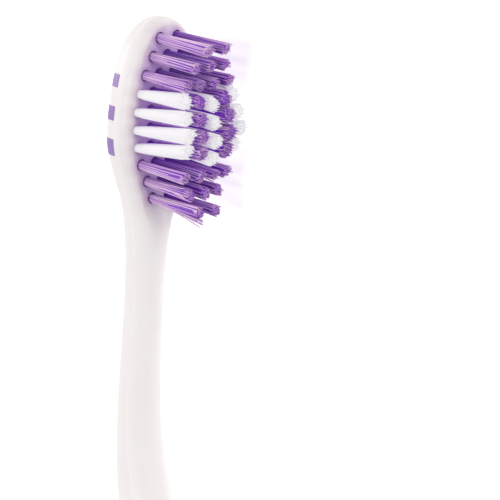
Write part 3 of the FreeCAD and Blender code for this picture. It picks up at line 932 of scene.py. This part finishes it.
def packed_heart(tuft, begin):
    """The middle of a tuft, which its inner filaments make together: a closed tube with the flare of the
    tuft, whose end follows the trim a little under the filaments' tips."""
    # The purple finish paints this heart deep purple, as the shade between the filaments
    levels = TUBE_LEVELS[:-2]
    rings, around = len(levels) + 1, 30
    angle = np.arange(around) * 2 * math.pi / around
    top = tuft.reach - tuft.kind.heart_drop
    height = (ROOT_LEVEL + (top - ROOT_LEVEL) * np.append(levels, 1.0))[:, None]
    radius, grow = tuft.flared(tuft.packed, tuft.kind.widest, height)
    fullness = np.append(np.full(rings - 1, tuft.kind.heart_fullness), 0.8)[:, None]
    ring_s, ring_a = tuft.spot(height, fullness * radius, angle)
    slant = (tuft.trimmed(ring_s) - tuft.reach) * grow
    middle_s, middle_a = ring_s[[0, -1]].mean(1), ring_a[[0, -1]].mean(1)
    points = np.concatenate([
        placed(ring_s, height + slant, ring_a).reshape(-1, 3),
        placed(middle_s, np.array([ROOT_LEVEL, top]), middle_a)])
    pole = begin + rings * around
    caps = np.concatenate([fan(pole, begin, around), fan(pole + 1, pole - around, around, True)])
    return points, (begin + loop_faces(rings, around))[:, ::-1], caps, {
        "strand": np.full(len(points), 0.3),
        "along": np.append(np.repeat(np.append(levels, 0.95), around), [0.0, 1.0]),
        "heart": np.ones(len(points)),
        "inner": np.append(np.tile(tuft.inside(angle), rings), [0.5, 0.5]),
    }


class TOOTHBRUSH_OT_tufts(ToothbrushOperator, bpy.types.Operator):
    """Make every tuft of the bristle field, filament by filament"""
    bl_idname = "toothbrush.tufts"
    bl_label = "Bristle tufts"

    def execute(self, context):
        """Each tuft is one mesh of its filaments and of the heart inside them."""
        sizes = context.scene.toothbrush_sizes
        for number, place in enumerate(tuft_places(sizes)):
            tuft = Tuft(sizes, *place)
            *strands, strand_values = filaments(tuft, np.random.default_rng(4100 + number))
            *heart, heart_values = packed_heart(tuft, len(strands[0]))
            points, quads, caps = (np.concatenate(pair) for pair in zip(strands, heart))
            maker = white_nylon if tuft.white else purple_nylon
            piece = mesh_object("bristles_" + tuft.name, points, quads, caps, finish_named(maker))
            with_point_values(piece, **{
                name: np.append(numbers, heart_values[name]) for name, numbers in strand_values.items()})
            finish_piece(piece, "white_filament" if tuft.white else "purple_filament", "tuft_" + tuft.name)
        return {"FINISHED"}


class TOOTHBRUSH_OT_anchors(ToothbrushOperator, bpy.types.Operator):
    """Give the metal anchor plates in the bores their rolled brass finish"""
    bl_idname = "toothbrush.anchors"
    bl_label = "Anchor plates"

    def execute(self, context):
        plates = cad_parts["anchor_plates"]
        material = finish_named(rolled_brass)
        if not plates.material_slots:
            plates.data.materials.append(material)
        for place in plates.material_slots:
            place.material = material
        return {"FINISHED"}


class TOOTHBRUSH_OT_stage(ToothbrushOperator, bpy.types.Operator):
    """Set the white floor, the bright surround and the soft lamps"""
    bl_idname = "toothbrush.stage"
    bl_label = "Stage"

    def execute(self, context):
        """The floor shows the brush's shadow; the camera sees some of its own white on top,
        which grows with the distance from the brush until no horizon shows, and is less under
        the handle, so that the shadow there stays clear."""
        level = float(body_box[0][2])
        wide = 6.0
        corners = [(-wide, -wide, level), (wide, -wide, level), (wide, wide, level), (-wide, wide, level)]
        finish = Finish("studio_floor")
        place = finish.coordinates
        paper = finish.node("ShaderNodeBsdfDiffuse", {}, {"Color": (0.86, 0.86, 0.86)})
        distance = finish.node("ShaderNodeVectorMath", {"operation": "LENGTH"}, {0: place}, "Value")
        far = finish.clamped((distance - 0.12) * 4.0)
        toward_head = finish.node(
            "ShaderNodeVectorMath", {"operation": "DOT_PRODUCT"}, {0: place, 1: (1.0, 0.0, 0.0)}, "Value")
        head_end = finish.clamped(toward_head * 12.0 + 0.5)
        own = 0.30 + finish.looking_rays() * (far * 0.56 + head_end * 0.35 - 0.11)
        brightest = 1.1
        lamp = finish.node("ShaderNodeEmission", {}, {
            "Color": finish.mixed(own * (1 / brightest), BLACK, WHITE), "Strength": brightest})
        material = finish.done(finish.node("ShaderNodeAddShader", {}, {0: paper, 1: lamp}))
        floor = mesh_object("studio_floor", corners, [(0, 1, 2, 3)], [], material)

        sky = Shader(bpy.data.worlds.new("studio"), "ShaderNodeOutputWorld")
        around = sky.node("ShaderNodeBackground", {}, {"Color": WHITE, "Strength": 0.36})
        white = sky.node("ShaderNodeBackground", {}, {"Color": WHITE, "Strength": 1.0})
        context.scene.world = sky.done(
            sky.node("ShaderNodeMixShader", {}, {0: sky.looking_rays(), 1: around, 2: white}))

        # Name, place and size in metres, and power in watts
        lamps = [
            ("top_lamp", (0.10, 0.06, 0.70), 0.36, 2.14),
            ("front_lamp", (0.42, -0.67, 0.06), 0.40, 2.15),
            ("back_lamp", (0.20, 0.60, 0.35), 0.22, 1.12),
            ("tail_lamp", (-0.55, 0.10, 0.40), 0.50, 0.40),
        ]
        for name, spot, size, power in lamps:
            data = bpy.data.lights.new(name, "AREA")
            data.shape = "DISK"
            data.size = size
            data.energy = power
            lamp = bpy.data.objects.new(name, data)
            lamp.matrix_world = aimed(spot, (0.05, 0.0, 0.0))
            context.scene.collection.objects.link(lamp)
        context.scene.view_settings.view_transform = "Standard"
        return {"FINISHED"}


def aimed(spot, target):
    """Matrix at a spot, with -Z towards a target."""
    back = np.array(spot) - np.array(target)
    back = back / np.linalg.norm(back)
    right = np.cross((0.0, 0.0, 1.0), back)
    right = right / np.linalg.norm(right)
    return standing(right, np.cross(back, right), back, spot)


class TOOTHBRUSH_PT_panel(bpy.types.Panel):
    """Lists the brush's pieces in the 3D view's sidebar"""
    bl_idname = "TOOTHBRUSH_PT_panel"
    bl_label = "Manual toothbrush"
    bl_space_type = "VIEW_3D"
    bl_region_type = "UI"
    bl_category = "Toothbrush"

    def draw(self, context):
        layout = self.layout
        for operator in OPERATORS:
            layout.operator(operator.bl_idname)
        for group in (context.scene.toothbrush_sizes, context.scene.toothbrush_colours):
            box = layout.box()
            for name in group.__annotations__:
                box.prop(group, name)


OPERATORS = [
    TOOTHBRUSH_OT_camera, TOOTHBRUSH_OT_moulding, TOOTHBRUSH_OT_grips, TOOTHBRUSH_OT_bars,
    TOOTHBRUSH_OT_tufts, TOOTHBRUSH_OT_anchors, TOOTHBRUSH_OT_stage,
]
CLASSES = [ToothbrushSizes, ToothbrushColours, *OPERATORS, TOOTHBRUSH_PT_panel]


def register():
    for kind in CLASSES:
        bpy.utils.register_class(kind)
    bpy.types.Scene.toothbrush_sizes = bpy.props.PointerProperty(type=ToothbrushSizes)
    bpy.types.Scene.toothbrush_colours = bpy.props.PointerProperty(type=ToothbrushColours)


def unregister():
    del bpy.types.Scene.toothbrush_colours
    del bpy.types.Scene.toothbrush_sizes
    for kind in reversed(CLASSES):
        bpy.utils.unregister_class(kind)


def main():
    register()
    for piece in ("camera", "moulding", "grips", "bars", "tufts", "anchors", "stage"):
        getattr(bpy.ops.toothbrush, piece)()


if __name__ == "__main__":
    main()
